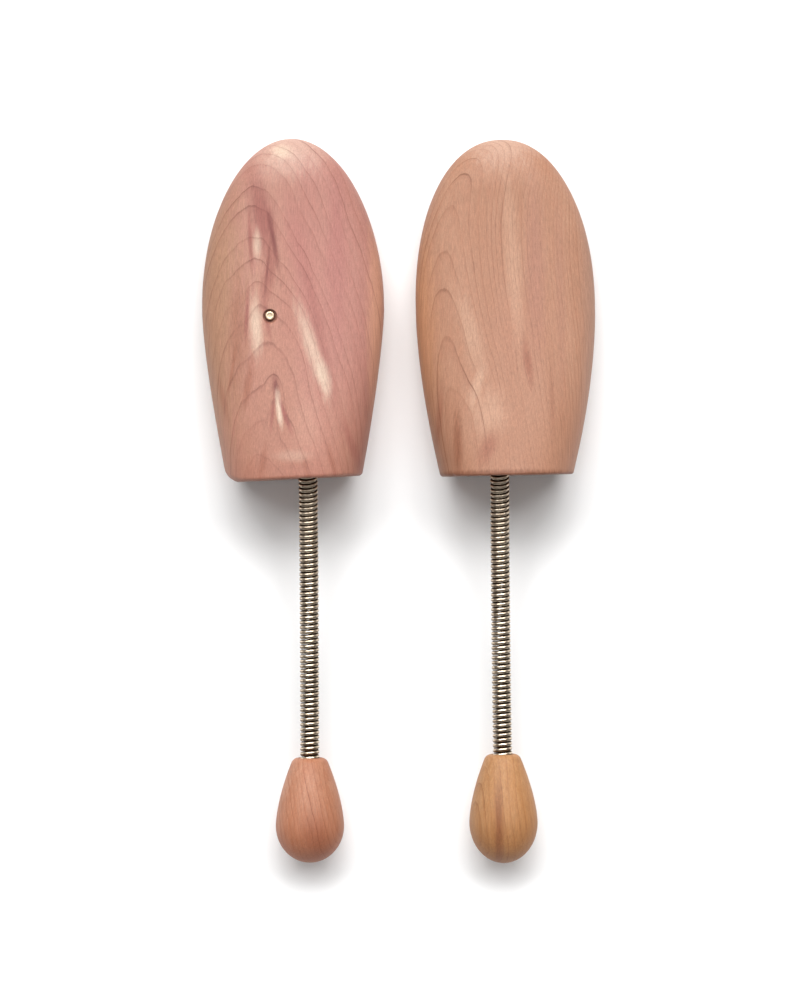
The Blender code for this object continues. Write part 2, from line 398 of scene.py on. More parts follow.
# ---- Cedar ----


SHOWN = 0.68  # facing up, a surface shows 1 / SHOWN times as bright as its own colour under these lights


def shade(red, green, blue):
    """The surface colour that shows as these display values of 0 to 255 on top of a block."""

    def linear(value):
        value /= 255
        return SHOWN * (value / 12.92 if value <= 0.04045 else ((value + 0.055) / 1.055) ** 2.4)

    return (linear(red), linear(green), linear(blue))


PATCH_EDGE = 1.3  # of a patch's own size, where it has faded out


def patch(shader, x, y, fibre, facts):
    """A mask for a streak, a pale patch or a bend of the rings: a soft ellipse with frayed edges."""
    lean = math.radians(facts["lean"])
    across = shader.less(x, facts["x"])
    along = shader.less(y, facts["y"])
    if lean:
        straight = shader.add(shader.times(across, math.cos(lean)), shader.times(along, math.sin(lean)))
        along = shader.less(shader.times(along, math.cos(lean)), shader.times(across, math.sin(lean)))
        across = straight
    across = shader.times(across, 1 / facts["half_width"])
    along = shader.times(along, 1 / facts["half_length"])
    reach = shader.math("SQRT", shader.add(shader.times(across, across), shader.times(along, along)))
    frayed = shader.add(reach, shader.times(fibre, facts["fray"]))
    return shader.smooth(frayed, PATCH_EDGE, facts["core"], 0.0, facts["strength"])


# Noise in wood: scale in mm across, along and up, an offset, detail and roughness
WOOD_NOISE = {
    "sway": ((22, 55, 22), 0.0, 2.0, 0.5),
    "wander": ((7, 30, 7), 5.0, 2.0, 0.5),
    "fibre": ((0.55, 16, 0.55), 9.0, 3.0, 0.6),
    "fine": ((0.4, 9, 0.4), 14.0, 2.0, 0.7),
    "streak": ((1.5, 26, 1.5), 17.0, 3.0, 0.6),
    "wobble": ((1.3, 6, 1.3), 19.0, 2.0, 0.5),
    "cloud": ((9, 38, 12), 21.0, 3.0, 0.55),
    "broad": ((26, 90, 26), 27.0, 1.0, 0.5),
    "ripple": ((2.6, 0.75, 2.6), 33.0, 2.0, 0.6),
    "speckle": ((0.5, 0.5, 0.5), 41.0, 1.0, 0.5),
    "fade": ((13, 34, 13), 50.0, 2.0, 0.5),
}


def wood_noises(shader, x, y, z, seed):
    made = {}
    for name, (scale, offset, detail, roughness) in WOOD_NOISE.items():
        at = shader.vector(
            shader.add(shader.times(x, 1 / scale[0]), seed + offset),
            shader.times(y, 1 / scale[1]),
            shader.times(z, 1 / scale[2]),
        )
        made[name] = shader.noise(at, detail, roughness)
    made["streak"] = shader.add(made["streak"], shader.times(made["fibre"], 0.35))
    return made


def ring_level(shader, x, y, z, figure, noises):
    """Distance from the pith line in millimetres, with the tree's unevenness."""
    pith_x = figure["pith_x"]
    if "pith_drift" in figure:
        back = shader.less(figure["tip_y"], y)
        drift = shader.math("EXPONENT", shader.times(back, -1 / figure["drift_length"]))
        pith_x = shader.math("MULTIPLY_ADD", drift, figure["pith_drift"], pith_x)
    across = shader.add(shader.less(x, pith_x), shader.times(noises["sway"], figure["sway"]))
    if "surface" in figure:
        low, rise, length, power = figure["surface"]
        back = shader.math("MAXIMUM", shader.times(shader.less(length, y), 1 / length), 0.0)
        top = shader.math("MULTIPLY_ADD", shader.math("POWER", back, power), rise, low)
        deep = shader.less(shader.add(top, figure["pith_depth"]), z)
    else:
        deep = shader.less(figure["pith_depth"], z)
    level = shader.math("SQRT", shader.add(shader.times(across, across), shader.times(deep, deep)))
    level = shader.add(
        level,
        shader.times(y, figure["taper"]),
        shader.times(noises["wander"], figure["wander"]),
        shader.times(noises["wobble"], figure["wobble"]),
    )
    for bump in figure.get("bumps", ()):
        level = shader.add(level, patch(shader, x, y, noises["fibre"], bump))
    uneven = shader.line_noise(shader.times(level, 0.45 / figure["ring"]))
    return shader.add(level, shader.times(uneven, 0.45 * figure["ring"]))


LATEWOOD = ((0.0, 0.25), (0.04, 0.0), (0.7, 0.0), (0.9, 0.2), (0.965, 1.0), (0.985, 0.85))
RING_TONE = ((0.0, 0.0), (0.55, 0.25), (1.0, 1.0))


def growth_rings(shader, x, y, z, figure, noises):
    """The dark line at each ring's edge, and the ring's slow darkening towards it."""
    count = shader.times(ring_level(shader, x, y, z, figure, noises), 1 / figure["ring"])
    ring_share = shader.math("FRACT", count)
    which = shader.math("FLOOR", count)
    strong = shader.smooth(shader.line_noise(shader.times(which, 0.73)), -0.55, 0.55, 0.25, 1.0)
    fade = shader.smooth(noises["fade"], -0.5, 0.4, 0.15, 1.0)
    if "line_fade" in figure:
        start, end, amount = figure["line_fade"]
        fade = shader.times(fade, shader.smooth(x, start, end, 1.0, amount))
    line = shader.times(shader.times(shader.ramp(ring_share, LATEWOOD), strong), fade)
    return line, shader.ramp(ring_share, RING_TONE)


def cut_end(shader, x, z, colour, figure):
    """End grain, on faces that look to the rear."""
    facing = shader.node("ShaderNodeTexCoord").outputs["Normal"]
    parts = shader.node("ShaderNodeSeparateXYZ", {"Vector": facing})
    share = shader.smooth(parts.outputs["Y"], -0.55, -0.92, 0.0, figure["end_grain"])
    pores = shader.noise(shader.vector(shader.times(x, 2.2), 0.0, shader.times(z, 2.2)), 2.0)
    end_colour = shader.mix(shader.smooth(pores, -0.4, 0.4), figure["end_dark"], figure["end_pale"])
    return shader.mix(share, colour, end_colour)


def wood_colour(shader, x, y, z, figure, noises, line, tone):
    share = shader.add(shader.times(noises["cloud"], 0.55), shader.times(noises["broad"], 0.5), 0.5)
    if "warm_side" in figure:
        start, end, amount = figure["warm_side"]
        share = shader.add(share, shader.smooth(x, start, end, 0.0, amount))
    colour = shader.mix(shader.smooth(share, 0.0, 1.0), figure["pale"], figure["deep"])
    colour = shader.mix(shader.times(tone, figure["tone"]), colour, figure["late"])
    lengthways = shader.smooth(shader.add(noises["streak"], shader.times(noises["fibre"], 0.4)), -0.7, 0.8)
    colour = shader.mix(shader.times(lengthways, figure["streaks"]), colour, figure["streak_colour"])
    # Darker towards one end of the piece: on the blocks towards the rear, and on the knobs painted shade
    # towards the far end, away from the key light.
    start, end, amount, rear_colour = figure["rear"]
    colour = shader.mix(shader.smooth(y, start, end, 0.0, amount), colour, rear_colour)
    for facts in figure["patches"]:
        colour = shader.mix(patch(shader, x, y, noises["streak"], facts), colour, facts["colour"])
    colour = cut_end(shader, x, z, colour, figure)
    colour = shader.mix(shader.times(line, figure["line"]), colour, figure["line_colour"])
    dark = shader.add(
        shader.times(noises["fibre"], 0.24),
        shader.times(noises["fine"], 0.3),
        shader.times(noises["ripple"], figure["ripple"]),
        shader.times(noises["speckle"], 0.12),
        1.0,
    )
    return shader.mix(1.0, colour, shader.vector(dark, dark, dark), "MULTIPLY")


def cedar(name, place, figure):
    """Red cedar in a piece's own frame, x across, y along the grain, z up, in millimetres.

    Growth rings are tubes round a pith line, and the top cuts across them, so it shows nested arches.
    """
    shader = Shader(name)
    x, y, z = shader.local(place)
    noises = wood_noises(shader, x, y, z, figure["seed"])
    line, tone = growth_rings(shader, x, y, z, figure, noises)
    colour = wood_colour(shader, x, y, z, figure, noises, line, tone)
    shader.join(colour, shader.surface.inputs["Base Color"])

    fibre, cloud = noises["fibre"], noises["cloud"]
    roughness = shader.add(
        0.56, shader.times(fibre, 0.05), shader.times(cloud, 0.04), shader.times(line, -0.06)
    )
    shader.join(roughness, shader.surface.inputs["Roughness"])
    shader.surface.inputs["Specular IOR Level"].default_value = 0.32
    relief = shader.add(
        shader.times(fibre, 0.5),
        shader.times(noises["fine"], 0.35),
        shader.times(line, 0.6),
        shader.times(noises["speckle"], 0.15),
    )
    bump = shader.node("ShaderNodeBump", {"Height": relief, "Strength": 0.35, "Distance": 0.00006})
    shader.join(bump.outputs[0], shader.surface.inputs["Normal"])
    return shader.material


# ---- Toe blocks ----


def half_width(u, facts):
    widest = facts["block_width"] / 2
    if u < WIDEST_AT:
        power = facts["toe_power"]
        return widest * (1 - (1 - u / WIDEST_AT) ** power) ** (1 / power)
    drawn_in = max(0.0, u - WAIST_START) / (facts["block_length"] - WAIST_START)
    return widest - REAR_NARROWING / 2 * drawn_in ** facts["waist_power"]


def top_height(u, facts):
    return TOE_THICKNESS + (REAR_HEIGHT - TOE_THICKNESS) * (u / facts["block_length"]) ** INSTEP_POWER


def sole_height(u):
    return TOE_SPRING * max(0.0, 1 - u / TOE_SPRING_LENGTH) ** 2


def nose_share(u):
    return math.sqrt(1 - max(0.0, 1 - u / NOSE_LENGTH) ** 2)


def section_point(u, angle, facts, inset=0.0):
    """(x, z) on the cross-section at u. The angle is 0 at the sole's middle and runs round by the +X side."""
    wide = half_width(u, facts) - inset
    share = nose_share(u)
    top = NOSE_HEIGHT + (top_height(u, facts) - NOSE_HEIGHT) * share - inset
    sole = NOSE_HEIGHT + (sole_height(u) - NOSE_HEIGHT) * share + inset
    middle = sole + (top - sole) * MIDDLE_HEIGHT_SHARE
    across, up = math.sin(angle), -math.cos(angle)
    power = CROWN_POWER if up > 0 else SOLE_POWER
    x = math.copysign(wide * abs(across) ** (2 / power), across)
    if up > 0:
        return x, middle + (top - middle) * up ** (2 / power)
    return x, max(sole, middle - (middle - sole + SOLE_PUSH) * abs(up) ** (2 / power))


def block_place(facts):
    return Matrix.Translation((facts["block_x"], 0, 0)) @ Matrix.Rotation(facts["block_yaw"], 4, "Z")


def edge_radius(angle, facts):
    """The rear edge's rounding: a plain radius, more at the -X corner, and small chips."""
    corner = math.exp(-(((angle - math.radians(268)) / math.radians(26)) ** 2))
    chip = noise.noise((9 * math.cos(angle), 9 * math.sin(angle), facts["seed"]))
    fine_chip = noise.noise((31 * math.cos(angle), 31 * math.sin(angle), facts["seed"] + 5))
    chips = facts["chips"] * (max(0.0, chip - 0.1) * 2.2 + max(0.0, fine_chip - 0.15) * 1.4)
    return facts["edge_radius"] + (facts["corner_radius"] - facts["edge_radius"]) * corner + chips


ANGLES = [2 * math.pi * k / SECTION_POINTS for k in range(SECTION_POINTS)]
REAR_BAND = 0.008  # the last of the length, where the rings close in on the rounded rear edge
NOSE_RINGS = 60
WAIST_RINGS = 48
FACE_RINGS = 14
BORE_RINGS = 8


def block_rings(facts, place, skew):
    """Rings from the nose to the end of the rear edge's rounding. The skew slants the rear face."""
    length = facts["block_length"]

    def point(u, angle, inset=0.0):
        x, z = section_point(u, angle, facts, inset)
        lean = skew * (u / length) ** 3
        aside = facts["belly"] * math.sin(math.pi * u / length)
        return place @ Vector((x + aside, length - u + lean * x, z))

    rings = []
    for k in range(1, NOSE_RINGS + 1):
        u = WIDEST_AT * (1 - math.cos(math.radians(90 / NOSE_RINGS * k)))
        rings.append([point(u, angle) for angle in ANGLES])
    straight = length - WIDEST_AT - REAR_BAND
    for k in range(1, WAIST_RINGS + 1):
        rings.append([point(WIDEST_AT + straight * k / WAIST_RINGS, angle) for angle in ANGLES])
    radii = [edge_radius(angle, facts) for angle in ANGLES]
    from_u = WIDEST_AT + straight
    for k in range(1, 5):
        starts = [length - radius for radius in radii]
        rings.append([point(from_u + (start - from_u) * k / 4, a) for start, a in zip(starts, ANGLES)])
    for k in range(1, 11):
        turn = math.radians(9 * k)
        ring = []
        for angle, radius in zip(ANGLES, radii):
            back = radius * math.sin(turn)
            ring.append(point(length - radius + back, angle, radius * (1 - math.cos(turn))))
        rings.append(ring)
    return rings


def rear_rings(edge, normal):
    """Rings from the rounded edge in across the rear face to the bore's mouth, then down the bore."""
    on_face = sum(edge, Vector()) / len(edge)
    into = -tangent(0)

    def bore_point(angle, radius):
        """On the bore's wall where it meets the rear face."""
        out = math.sin(angle) * Vector((1, 0, 0)) - math.cos(angle) * upward(0)
        start = centre(0) + radius * out
        return start + into * ((on_face - start).dot(normal) / into.dot(normal))

    mouth = [bore_point(angle, BORE_RADIUS + BORE_CHAMFER) for angle in ANGLES]
    rings = []
    for k in range(1, FACE_RINGS + 1):
        share = (k / (FACE_RINGS + 1)) ** 0.8
        rings.append([p.lerp(q, share) for p, q in zip(edge, mouth)])
    rings.append(mouth)
    wall = [bore_point(angle, BORE_RADIUS) for angle in ANGLES]
    depth = TURNS_IN_BLOCK * PITCH + BORE_END_GAP
    for k in range(BORE_RINGS + 1):
        along = into * (BORE_CHAMFER + depth * k / BORE_RINGS)
        rings.append([p + along for p in wall])
    return rings, centre(0) + into * (depth + BORE_CHAMFER)


def make_block(side, yaw):
    """The yaw is the shoe tree's own turn, which the slant of the rear face allows for."""
    facts = BLOCKS[side]
    place = block_place(facts)
    skew = math.tan(facts["squint"] - facts["block_yaw"] - yaw)
    rings = block_rings(facts, place, skew)
    normal = (place.to_3x3() @ Vector((-skew, 1, 0))).normalized()
    more, bore_end = rear_rings(rings[-1], normal)
    tip = place @ Vector((0, facts["block_length"], NOSE_HEIGHT))
    points, faces = skin_rings(rings + more, front_pole=tip, rear_pole=bore_end)
    obj = mesh_object(f"{side}_cedar_block", points, faces)
    face_outwards(obj)
    roughen(obj, facts["seed"])
    return obj


SOLE_KEPT_FLAT = 0.0008


def roughen(obj, seed):
    """Hand-sanded cedar isn't quite even: it swells a tenth of a millimetre over a few centimetres."""
    normals = [vertex.normal.copy() for vertex in obj.data.vertices]
    for vertex, normal in zip(obj.data.vertices, normals):
        if vertex.co.z < SOLE_KEPT_FLAT:
            continue
        p = vertex.co
        swell = noise.noise((p.x * 38 + seed, p.y * 24, p.z * 38)) * 0.00016
        fine = noise.noise((p.x * 190 + seed, p.y * 90, p.z * 190)) * 0.00003
        vertex.co = p + normal * (swell + fine)


def turned(name, profile, sides, place):
    """A turned solid along the place's +Z. The profile is (along, radius), from end to end on the axis."""
    rings = []
    for along, radius in profile[1:-1]:
        ring = []
        for k in range(sides):
            angle = 2 * math.pi * k / sides
            ring.append(Vector((radius * math.cos(angle), radius * math.sin(angle), along)))
        rings.append(ring)
    first, last = profile[0][0], profile[-1][0]
    points, faces = skin_rings(rings, Vector((0, 0, first)), Vector((0, 0, last)))
    obj = mesh_object(name, [place @ p for p in points], faces, smooth_angle=40)
    face_outwards(obj)
    return obj


def pin_place():
    facts = BLOCKS["left"]
    wide, top = half_width(PIN_U, facts), top_height(PIN_U, facts)
    middle = top * MIDDLE_HEIGHT_SHARE
    crown = (1 - (abs(PIN_X) / wide) ** CROWN_POWER) ** (1 / CROWN_POWER)
    height = middle + (top - middle) * crown
    surface = block_place(facts) @ Vector((PIN_X, facts["block_length"] - PIN_U, height))
    return Matrix.Translation(surface)


def cut_pin_hole(block):
    flare = 0.0004
    above = 0.004
    profile = [
        (above, 0),
        (above, PIN_RECESS_RADIUS + above * 0.7),
        (-flare, PIN_RECESS_RADIUS),
        (-PIN_RECESS_DEPTH, PIN_RECESS_RADIUS - 0.0001),
        (-PIN_RECESS_DEPTH - 0.0004, PIN_HOLE_RADIUS),
        (-PIN_LENGTH - BORE_END_GAP, PIN_HOLE_RADIUS),
        (-PIN_LENGTH - BORE_END_GAP, 0),
    ]
    cutter = turned("pin_hole_cutter", profile, PIN_SIDES, pin_place())
    modifier = block.modifiers.new("pin_hole", "BOOLEAN")
    modifier.operation = "DIFFERENCE"
    modifier.object = cutter
    graph = bpy.context.evaluated_depsgraph_get()
    mesh = bpy.data.meshes.new_from_object(block.evaluated_get(graph), depsgraph=graph)
    block.modifiers.clear()
    block.data = mesh
    bpy.data.objects.remove(cutter, do_unlink=True)
    mesh.set_sharp_from_angle(angle=math.radians(40))


def make_pin():
    under = -PIN_RECESS_DEPTH + 0.0003
    rim, face = under + 0.0007, under + 0.0010
    profile = [(-PIN_LENGTH, 0), (-PIN_LENGTH, PIN_SHANK_RADIUS * 0.6)]
    profile += [(-PIN_LENGTH + 0.0006, PIN_SHANK_RADIUS), (under, PIN_SHANK_RADIUS)]
    profile += [(under, PIN_HEAD_RADIUS - 0.0001), (under + 0.0001, PIN_HEAD_RADIUS)]
    for k in range(7):
        turn = math.radians(15 * k)
        profile.append((rim + 0.0003 * math.sin(turn), PIN_HEAD_RADIUS - 0.0004 * (1 - math.cos(turn))))
    for k in range(1, 7):
        turn = math.radians(15 * k)
        profile.append((face - 0.00014 * (1 - math.cos(turn)), 0.0013 - 0.0004 * math.sin(turn)))
    profile += [(face - 0.00017, 0.0006), (face - 0.00018, 0.0003), (face - 0.00018, 0)]
    return turned("brass_pin", profile, PIN_SIDES, pin_place())


# ---- Heel knobs ----


def knob_radius(v, length):
    if v > KNOB_WIDEST_AT:
        blunt = (v - KNOB_WIDEST_AT) / (length - KNOB_WIDEST_AT)
        return KNOB_RADIUS * math.sqrt(max(0.0, 1 - blunt**2))
    taper = 1 - v / KNOB_WIDEST_AT
    return KNOB_RADIUS - (KNOB_RADIUS - KNOB_FACE_RADIUS) * taper**KNOB_FRONT_POWER


def knob_profile(length):
    """(along, radius) from the bore's end out to the mouth, over the shoulder and round to the blunt end."""
    depth = TURNS_IN_KNOB * PITCH + BORE_END_GAP
    profile = [(depth, 0)]
    profile += [(depth * (1 - k / 8) + BORE_CHAMFER * k / 8, BORE_RADIUS) for k in range(9)]
    mouth_radius = BORE_RADIUS + BORE_CHAMFER
    profile.append((0.0, mouth_radius))
    face_radius = KNOB_FACE_RADIUS - KNOB_FACE_EDGE
    profile += [(0.0, mouth_radius + (face_radius - mouth_radius) * k / 3) for k in (1, 2, 3)]
    for k in range(1, 9):
        turn = math.radians(90 * k / 8)
        v = KNOB_FACE_EDGE * (1 - math.cos(turn))
        profile.append((v, knob_radius(v, length) - KNOB_FACE_EDGE * (1 - math.sin(turn))))
    for k in range(1, 31):
        v = KNOB_FACE_EDGE + (KNOB_WIDEST_AT - KNOB_FACE_EDGE) * k / 30
        profile.append((v, knob_radius(v, length)))
    blunt = length - KNOB_WIDEST_AT
    for degrees in range(3, 90, 3):
        turn = math.radians(degrees)
        profile.append((KNOB_WIDEST_AT + blunt * math.sin(turn), KNOB_RADIUS * math.cos(turn)))
    profile.append((length, 0))
    return profile


def make_knob(side):
    place = Matrix.Translation(centre(SPRING_LENGTH)) @ Matrix.Rotation(math.radians(90), 4, "X")
    return turned(f"{side}_cedar_knob", knob_profile(KNOB_LENGTHS[side]), KNOB_SIDES, place)


# ---- Springs ----


def wire_piece(name, start, end, place):
    """The right-hand coil from arc length start to end, in round wire, with flat ends."""
    steps = max(2, round((end - start) / PITCH * WIRE_STEPS_PER_TURN))
    middle_radius = SPRING_RADIUS - WIRE_RADIUS
    rings = []
    for k in range(steps + 1):
        s = start + (end - start) * k / steps
        turn = 2 * math.pi * s / PITCH
        up, side_way, axis = upward(s), Vector((1, 0, 0)), tangent(s)
        out = math.cos(turn) * up - math.sin(turn) * side_way
        around = -math.sin(turn) * up - math.cos(turn) * side_way
        direction = (around * 2 * math.pi * middle_radius + axis * PITCH).normalized()
        beside = direction.cross(out)
        middle = centre(s) + middle_radius * out
        ring = []
        for m in range(WIRE_SIDES):
            angle = 2 * math.pi * m / WIRE_SIDES
            ring.append(middle + WIRE_RADIUS * (math.cos(angle) * out + math.sin(angle) * beside))
        rings.append(ring)
    points, faces = skin_rings(rings)
    obj = mesh_object(name, points, faces, place, smooth_angle=60)
    face_outwards(obj)
    layer = obj.data.uv_layers.new(name="along_wire")
    ring_of = {i: divmod(i, WIRE_SIDES) for i in range(len(points))}
    for loop in obj.data.loops:
        ring, m = ring_of[loop.vertex_index]
        layer.data[loop.index].uv = (ring / WIRE_STEPS_PER_TURN, m / WIRE_SIDES)
    return obj


def bends_sideways(k):
    """True at the joints where the spring bends sideways: every fourth, from the second on."""
    return k % 4 == 1


def spring_piece(side, name, start, end, material):
    piece = wire_piece(f"{side}_spring_{name}", start, end, PLACES[side])
    piece.data.materials.append(material)
    return piece


def make_spring(side, material):
    """One piece for each joint, from the middle of one length to the middle of the next.

    At a sideways joint it is two stiff halves, each attached to the body on its side. The other pieces are
    left in world coordinates, attached to no body.
    """
    half = TURNS_PER_LENGTH * PITCH / 2
    bodies = [f"{side}_block"] + [f"{side}_turns_{k:02d}" for k in range(1, JOINTS)] + [f"{side}_knob"]
    for k in range(JOINTS):
        at = joint_at(k)
        start, end = at - half, at + half
        node = f"{side}_coil_{k:02d}"
        if bends_sideways(k):
            near = spring_piece(side, f"{k + 1:02d}_front", start, at, material)
            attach(near, bodies[k])
            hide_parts(node)
            far = spring_piece(side, f"{k + 1:02d}_rear", at, end, material)
            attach(far, bodies[k + 1])
            continue
        if k == 0:
            start, node = -TURNS_IN_BLOCK * PITCH, f"{side}_spring_front_end"
        if k == JOINTS - 1:
            end = SPRING_LENGTH + TURNS_IN_KNOB * PITCH
        piece = spring_piece(side, f"{k + 1:02d}", start, end, material)
        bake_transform(piece)
        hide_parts(node)
        if k == JOINTS - 1:
            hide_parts(f"{side}_spring_rear_end")


# Painted shade between the coils begins and ends this far round the wire's section from its outermost line
GAP_SHADE_FROM = 0.06  # turns
GAP_SHADE_TO = 0.15


def spring_steel():
    """Bright nickel plate over drawn wire: fine lines along the wire, a little unevenness, and painted shade
    in the gaps between the turns.
    """
    shader = Shader("nickel_plated_wire")
    uv = shader.node("ShaderNodeUVMap", uv_map="along_wire").outputs[0]
    parts = shader.node("ShaderNodeSeparateXYZ", {"Vector": uv})
    where = shader.node("ShaderNodeTexCoord").outputs["Object"]
    along, around = parts.outputs["X"], parts.outputs["Y"]
    lines = shader.noise(shader.vector(shader.times(along, 3.0), shader.times(around, 60.0), 0.0), 2.0)
    worn = shader.noise(shader.scaled(where, 900.0), 2.0)
    tarnish = shader.smooth(worn, -0.2, 0.7)
    colour = shader.mix(tarnish, (0.74, 0.62, 0.48), (0.46, 0.34, 0.23))
    # Painted shade: the wire's inner side, in the gaps between the turns, is made nearly black and a little
    # rougher.
    from_outside = shader.less(shader.math("FRACT", shader.add(around, 0.5)), 0.5)
    inwards = shader.math("ABSOLUTE", from_outside)
    gap_shade = shader.smooth(shader.add(inwards, shader.times(worn, 0.02)), GAP_SHADE_FROM, GAP_SHADE_TO)
    colour = shader.mix(gap_shade, colour, (0.05, 0.03, 0.016))
    shader.join(colour, shader.surface.inputs["Base Color"])
    shader.surface.inputs["Metallic"].default_value = 1.0
    uneven = (shader.times(lines, 0.03), shader.times(worn, 0.04), shader.times(gap_shade, 0.3))
    roughness = shader.add(0.29, *uneven)
    shader.join(roughness, shader.surface.inputs["Roughness"])
    bump = shader.node("ShaderNodeBump", {"Height": lines, "Strength": 0.15, "Distance": 0.00002})
    shader.join(bump.outputs[0], shader.surface.inputs["Normal"])
    return shader.material


def pin_brass():
    shader = Shader("polished_brass")
    where = shader.node("ShaderNodeTexCoord").outputs["Object"]
    worn = shader.noise(shader.scaled(where, 1800.0), 3.0)
    colour = shader.mix(shader.smooth(worn, -0.5, 0.6), (0.95, 0.80, 0.60), (0.74, 0.56, 0.36))
    shader.join(colour, shader.surface.inputs["Base Color"])
    shader.surface.inputs["Metallic"].default_value = 1.0
    shader.join(shader.add(0.44, shader.times(worn, 0.08)), shader.surface.inputs["Roughness"])
    return shader.material


# ---- Wood figures ----

# Streaks, patches and bends are spot(x, y, half width, half length, colour, strength), in millimetres


def spot(x, y, half_width, half_length, colour, strength, lean=0, fray=0.45, core=0.15):
    """A positive lean, in degrees, tips the far end to -X. Strength is a share, or a bend's height."""
    return {
        "x": x,
        "y": y,
        "half_width": half_width,
        "half_length": half_length,
        "colour": colour,
        "strength": strength,
        "lean": lean,
        "fray": fray,
        "core": core,
    }


def bend(x, y, half_width, half_length, height):
    return spot(x, y, half_width, half_length, None, height, fray=0.0, core=0.0)


PURPLE = shade(156, 84, 78)
PLUM = shade(122, 54, 54)
CREAM = shade(236, 208, 184)
BRICK = shade(162, 98, 76)
TAN = shade(184, 138, 108)

LEFT_BLOCK = {
    "seed": 2.0,
    "pith_x": -25.0,
    "pith_depth": 30.0,
    "tip_y": 153.6,
    "surface": (24.0, 26.0, 153.6, 1.7),
    "taper": 0.34,
    "sway": 3.0,
    "wander": 1.0,
    "wobble": 0.12,
    "ring": 4.6,
    "bumps": (
        bend(-2.0, 58, 16, 40, -5.5),
        bend(-15, 84, 7, 26, -2.0),
        bend(-7.4, 36, 4.5, 16, -3.0),
    ),
    "pale": shade(209, 160, 138),
    "deep": shade(199, 141, 127),
    "late": shade(186, 124, 110),
    "tone": 0.3,
    "streaks": 0.45,
    "streak_colour": shade(184, 122, 110),
    "line": 0.8,
    "line_fade": (4.0, 26.0, 0.65),
    "line_colour": shade(122, 66, 54),
    "ripple": 0.03,
    "warm_side": (-8.0, 14.0, 0.4),
    "rear": (62.0, 0.0, 0.55, shade(182, 122, 98)),
    "end_grain": 0.85,
    "end_dark": shade(136, 84, 64),
    "end_pale": shade(176, 122, 98),
    "patches": (
        spot(-36, 78, 18, 90, TAN, 0.85),
        spot(38, 60, 5, 75, shade(226, 168, 138), 0.8),
        spot(0, 150, 20, 15, shade(226, 194, 176), 0.6),
        spot(-4, 147, 5, 4, CREAM, 0.7),
        spot(20, 100, 6, 46, shade(186, 118, 112), 0.5),
        spot(4, 96, 7, 40, shade(190, 120, 112), 0.4, lean=12),
        spot(-12.6, 117, 6.0, 26, PURPLE, 0.7, lean=12),
        spot(-7.6, 105, 1.5, 17, PLUM, 0.8, lean=10),
        spot(-10.4, 88, 3.4, 17, PURPLE, 0.8, lean=-10),
        spot(-11.0, 92, 0.8, 14, PLUM, 0.8, lean=-6),
        spot(-18.3, 107, 1.1, 17, PURPLE, 0.6, lean=3),
        spot(-15.2, 105, 2.1, 8, CREAM, 0.65),
        spot(-8.0, 48, 15, 56, shade(190, 132, 112), 0.75),
        spot(-24.0, 66, 5, 30, shade(172, 116, 94), 0.75),
        spot(-3.0, 76, 6, 24, shade(190, 130, 114), 0.6),
        spot(6.0, 24, 8, 16, shade(214, 164, 142), 0.4),
        spot(-16.0, 68, 3.4, 15, CREAM, 0.7, lean=3),
        spot(-20.0, 74, 1.1, 13, PURPLE, 0.65, lean=-3),
        spot(-10.8, 70, 1.4, 10, PURPLE, 0.5, lean=8),
        spot(8.8, 58, 3.6, 24, CREAM, 0.6, lean=17),
        spot(14.0, 46, 3.2, 10, CREAM, 0.85, lean=14),
        spot(-7.4, 41, 1.8, 6, PLUM, 0.85, lean=2),
        spot(-8.0, 20, 14, 24, shade(180, 124, 104), 0.6),
        spot(13.0, 62, 3.0, 40, PURPLE, 0.35, lean=12),
        spot(-5.9, 31, 1.5, 9, CREAM, 0.95, lean=7),
        spot(-3.2, 28, 1.3, 10, PURPLE, 0.75, lean=20),
        spot(-8.8, 29, 1.0, 9, PURPLE, 0.6, lean=-6),
        spot(-19.6, 43, 2.4, 13, BRICK, 0.6, lean=-8),
        spot(-31.0, 36, 1.6, 12, BRICK, 0.4, lean=12),
        spot(-4, 3, 24, 8, BRICK, 0.4),
        spot(-13, 7, 1.8, 9, BRICK, 0.55, lean=-8),
        spot(6, 5, 1.5, 8, BRICK, 0.5, lean=10),
        spot(17, 8, 1.6, 10, BRICK, 0.5, lean=14),
        spot(-27, 48, 1.0, 12, BRICK, 0.45, lean=-10),
        spot(26, 15, 2.2, 15, PURPLE, 0.4, lean=18),
        spot(0, 10, 9, 3, CREAM, 0.22),
        spot(PIN_X / MM, 153.6 - PIN_U / MM, 2.7, 2.7, shade(112, 70, 52), 0.9, fray=0.05, core=0.8),
    ),
}

